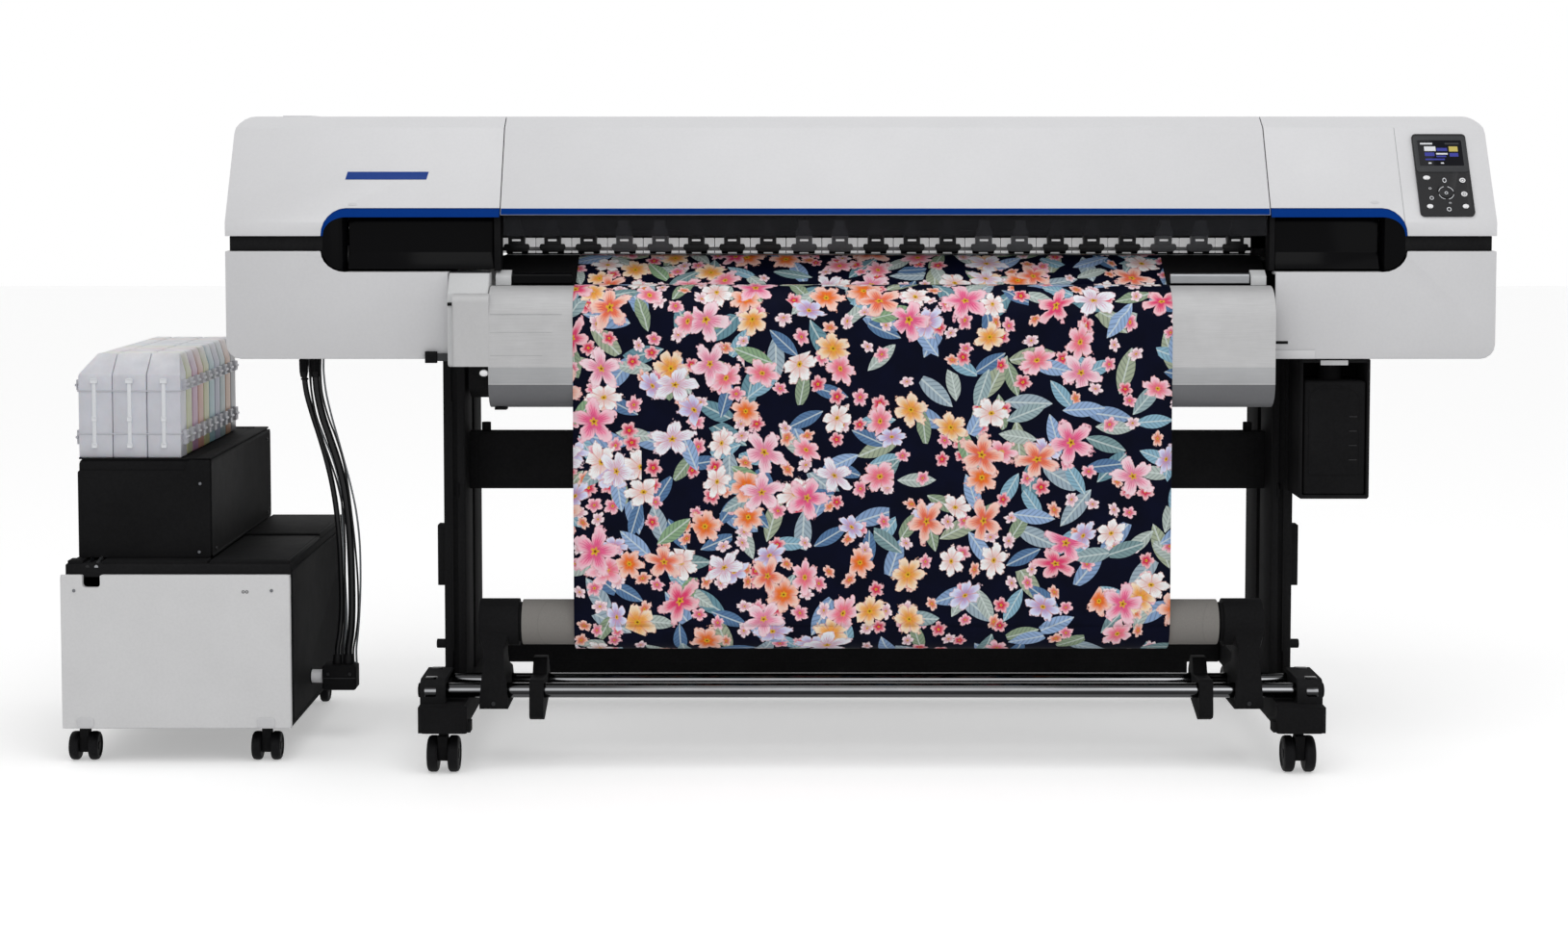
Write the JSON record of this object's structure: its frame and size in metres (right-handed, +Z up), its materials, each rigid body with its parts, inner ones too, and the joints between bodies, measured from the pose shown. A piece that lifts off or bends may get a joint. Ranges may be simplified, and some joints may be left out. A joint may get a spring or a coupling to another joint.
{
  "type": "wide format roll printer",
  "caption": "Wide-format roll-to-roll inkjet printer on a wheeled stand, with a take-up reel, a hinged front cover and a bulk ink-supply unit on a wheeled cabinet.",
  "frame": {"origin": "bottom centre of the whole object, without the two hoses, at floor level", "axes": "+X to the right seen from the front, +Y towards the back, +Z up; the front faces -Y"},
  "size_m": [2.966, 0.934, 1.348],
  "materials": {
    "white_plastic": "satin moulded",
    "grey_plastic": "satin moulded",
    "black_plastic": "fine texture",
    "gloss_black": "gloss",
    "black_frame": "powder coat",
    "white_steel": "powder coat",
    "guide_sheet": "satin coat",
    "roller_steel": "ground",
    "chrome_rail": "polished",
    "smoke_window": "clear",
    "soft_rubber": "matt",
    "core_card": "matt card",
    "printed_media": "printed textile",
    "tank_plastic": "translucent",
    "hose_jacket": "satin"
  },
  "bodies": {
    "root": {"chassis": "black_plastic", "lower_case_left": "grey_plastic", "lower_case_right": "grey_plastic", "rear_case": "white_plastic", "left_top_cover": "white_plastic", "right_top_cover": "white_plastic", "control_panel": "gloss_black", "platen": "black_plastic", "roller_bar": "white_plastic", "media_guide": "guide_sheet", "side_block": "grey_plastic", "bottle_holder": "black_plastic", "left_leg": "black_frame", "right_leg": "black_frame", "left_foot": "black_frame", "right_foot": "black_frame", "cross_beam": "black_frame", "rear_bar": "black_frame", "front_rail": "chrome_rail", "rear_rail": "chrome_rail", "media_web": "printed_media", "feed_bracket": "black_frame", "ink_cabinet": "black_frame", "cabinet_front": "white_steel", "tank_tray": "black_plastic", "ink_tanks": "tank_plastic", "hose_connector": "black_plastic", "hose_main": "hose_jacket", "hose_second": "hose_jacket"},
    "front_cover": {"front_cover": "white_plastic", "front_window": "smoke_window"},
    "left_access_cover": {"left_access_cover": "gloss_black"},
    "right_access_cover": {"right_access_cover": "gloss_black"},
    "carriage": {"carriage": "black_plastic"},
    "feed_roller": {"feed_roller": "roller_steel"},
    "pressure_rollers": {"pressure_rollers": "soft_rubber"},
    "power_button": {"power_button": "white_plastic"},
    "pad_button": {"pad_button": "black_plastic"},
    "back_button": {"back_button": "white_plastic"},
    "feed_button": {"feed_button": "white_plastic"},
    "loading_lever": {"loading_lever": "grey_plastic"},
    "waste_bottle": {"waste_bottle": "black_plastic"},
    "takeup_holder_left": {"takeup_holder_left": "black_plastic"},
    "takeup_holder_right": {"takeup_holder_right": "black_plastic"},
    "takeup_roll": {"takeup_roll": "core_card"},
    "supply_roll": {"supply_roll": "printed_media"},
    "roll_support_left": {"roll_support_left": "black_plastic"},
    "roll_support_right": {"roll_support_right": "black_plastic"},
    "caster_fork_front_left": {"caster_fork_front_left": "black_plastic"},
    "caster_wheel_front_left": {"caster_wheel_front_left": "soft_rubber"},
    "caster_fork_rear_left": {"caster_fork_rear_left": "black_plastic"},
    "caster_wheel_rear_left": {"caster_wheel_rear_left": "soft_rubber"},
    "caster_fork_front_right": {"caster_fork_front_right": "black_plastic"},
    "caster_wheel_front_right": {"caster_wheel_front_right": "soft_rubber"},
    "caster_fork_rear_right": {"caster_fork_rear_right": "black_plastic"},
    "caster_wheel_rear_right": {"caster_wheel_rear_right": "soft_rubber"},
    "cabinet_wheel_front_left": {"cabinet_wheel_front_left": "soft_rubber"},
    "cabinet_wheel_rear_left": {"cabinet_wheel_rear_left": "soft_rubber"},
    "cabinet_wheel_front_right": {"cabinet_wheel_front_right": "soft_rubber"},
    "cabinet_wheel_rear_right": {"cabinet_wheel_rear_right": "soft_rubber"}
  },
  "joints": [
    {"name": "front_cover_hinge", "type": "hinge", "parent": "root", "child": "front_cover", "pos_m": [0.227, 0.02, 1.348], "axis": [-1, 0, 0], "range_deg": [0, 70]},
    {"name": "left_access_hinge", "type": "hinge", "parent": "root", "child": "left_access_cover", "pos_m": [-0.729, -0.333, 1.033], "axis": [1, 0, 0], "range_deg": [0, 80]},
    {"name": "right_access_hinge", "type": "hinge", "parent": "root", "child": "right_access_cover", "pos_m": [1.14, -0.333, 1.033], "axis": [1, 0, 0], "range_deg": [0, 80]},
    {"name": "carriage_slide", "type": "slide", "parent": "root", "child": "carriage", "axis": [1, 0, 0], "range_m": [-1.95, 0.04]},
    {"name": "feed_spin", "type": "hinge", "parent": "root", "child": "feed_roller", "pos_m": [0.2215, -0.15, 1.043], "axis": [1, 0, 0], "continuous": true},
    {"name": "pressure_spin", "type": "hinge", "parent": "root", "child": "pressure_rollers", "pos_m": [0.214, -0.15, 1.0674], "axis": [1, 0, 0], "continuous": true},
    {"name": "power_button_press", "type": "slide", "parent": "root", "child": "power_button", "axis": [0, 0.8586, -0.5126], "range_m": [0, 0.001], "stiffness_N_per_m": 400, "springref_m": -0.0005},
    {"name": "pad_button_press", "type": "slide", "parent": "root", "child": "pad_button", "axis": [0, 0.8586, -0.5126], "range_m": [0, 0.001], "stiffness_N_per_m": 400, "springref_m": -0.0005},
    {"name": "back_button_press", "type": "slide", "parent": "root", "child": "back_button", "axis": [0, 0.8586, -0.5126], "range_m": [0, 0.001], "stiffness_N_per_m": 400, "springref_m": -0.0005},
    {"name": "feed_button_press", "type": "slide", "parent": "root", "child": "feed_button", "axis": [0, 0.8586, -0.5126], "range_m": [0, 0.001], "stiffness_N_per_m": 400, "springref_m": -0.0005},
    {"name": "loading_lever_pivot", "type": "hinge", "parent": "root", "child": "loading_lever", "pos_m": [1.013, 0.276, 1.068], "axis": [1, 0, 0], "range_deg": [0, 40]},
    {"name": "waste_bottle_slide", "type": "slide", "parent": "root", "child": "waste_bottle", "axis": [0, -1, 0], "range_m": [0, 0.14]},
    {"name": "takeup_holder_left_slide", "type": "slide", "parent": "root", "child": "takeup_holder_left", "axis": [1, 0, 0], "range_m": [-0.028, 0]},
    {"name": "takeup_holder_right_slide", "type": "slide", "parent": "root", "child": "takeup_holder_right", "axis": [1, 0, 0], "range_m": [0, 0.028]},
    {"name": "takeup_spin", "type": "hinge", "parent": "root", "child": "takeup_roll", "pos_m": [0.1975, -0.376, 0.305], "axis": [1, 0, 0], "continuous": true},
    {"name": "supply_spin", "type": "hinge", "parent": "root", "child": "supply_roll", "pos_m": [0.1985, 0.392, 0.9], "axis": [1, 0, 0], "continuous": true},
    {"name": "roll_support_left_slide", "type": "slide", "parent": "root", "child": "roll_support_left", "axis": [1, 0, 0], "range_m": [-0.03, 0.42]},
    {"name": "roll_support_right_slide", "type": "slide", "parent": "root", "child": "roll_support_right", "axis": [1, 0, 0], "range_m": [-0.42, 0.03]},
    {"name": "caster_swivel_front_left", "type": "hinge", "parent": "root", "child": "caster_fork_front_left", "pos_m": [-0.6815, -0.425, 0.091], "axis": [0, 0, 1], "continuous": true},
    {"name": "caster_roll_front_left", "type": "hinge", "parent": "caster_fork_front_left", "child": "caster_wheel_front_left", "pos_m": [-0.6815, -0.411, 0.0375], "axis": [1, 0, 0], "continuous": true},
    {"name": "caster_swivel_rear_left", "type": "hinge", "parent": "root", "child": "caster_fork_rear_left", "pos_m": [-0.6815, 0.34, 0.091], "axis": [0, 0, 1], "continuous": true},
    {"name": "caster_roll_rear_left", "type": "hinge", "parent": "caster_fork_rear_left", "child": "caster_wheel_rear_left", "pos_m": [-0.6815, 0.354, 0.0375], "axis": [1, 0, 0], "continuous": true},
    {"name": "caster_swivel_front_right", "type": "hinge", "parent": "root", "child": "caster_fork_front_right", "pos_m": [1.0765, -0.425, 0.091], "axis": [0, 0, 1], "continuous": true},
    {"name": "caster_roll_front_right", "type": "hinge", "parent": "caster_fork_front_right", "child": "caster_wheel_front_right", "pos_m": [1.0765, -0.411, 0.0375], "axis": [1, 0, 0], "continuous": true},
    {"name": "caster_swivel_rear_right", "type": "hinge", "parent": "root", "child": "caster_fork_rear_right", "pos_m": [1.0765, 0.34, 0.091], "axis": [0, 0, 1], "continuous": true},
    {"name": "caster_roll_rear_right", "type": "hinge", "parent": "caster_fork_rear_right", "child": "caster_wheel_rear_right", "pos_m": [1.0765, 0.354, 0.0375], "axis": [1, 0, 0], "continuous": true},
    {"name": "cabinet_roll_front_left", "type": "hinge", "parent": "root", "child": "cabinet_wheel_front_left", "pos_m": [-1.448, -0.3, 0.03], "axis": [1, 0, 0], "continuous": true},
    {"name": "cabinet_roll_rear_left", "type": "hinge", "parent": "root", "child": "cabinet_wheel_rear_left", "pos_m": [-1.448, 0.3, 0.03], "axis": [1, 0, 0], "continuous": true},
    {"name": "cabinet_roll_front_right", "type": "hinge", "parent": "root", "child": "cabinet_wheel_front_right", "pos_m": [-1.066, -0.3, 0.03], "axis": [1, 0, 0], "continuous": true},
    {"name": "cabinet_roll_rear_right", "type": "hinge", "parent": "root", "child": "cabinet_wheel_rear_right", "pos_m": [-1.066, 0.3, 0.03], "axis": [1, 0, 0], "continuous": true}
  ],
  "couplings": [
    {"joint": "pressure_spin", "follows": "feed_spin", "ratio": -1.1905}
  ]
}
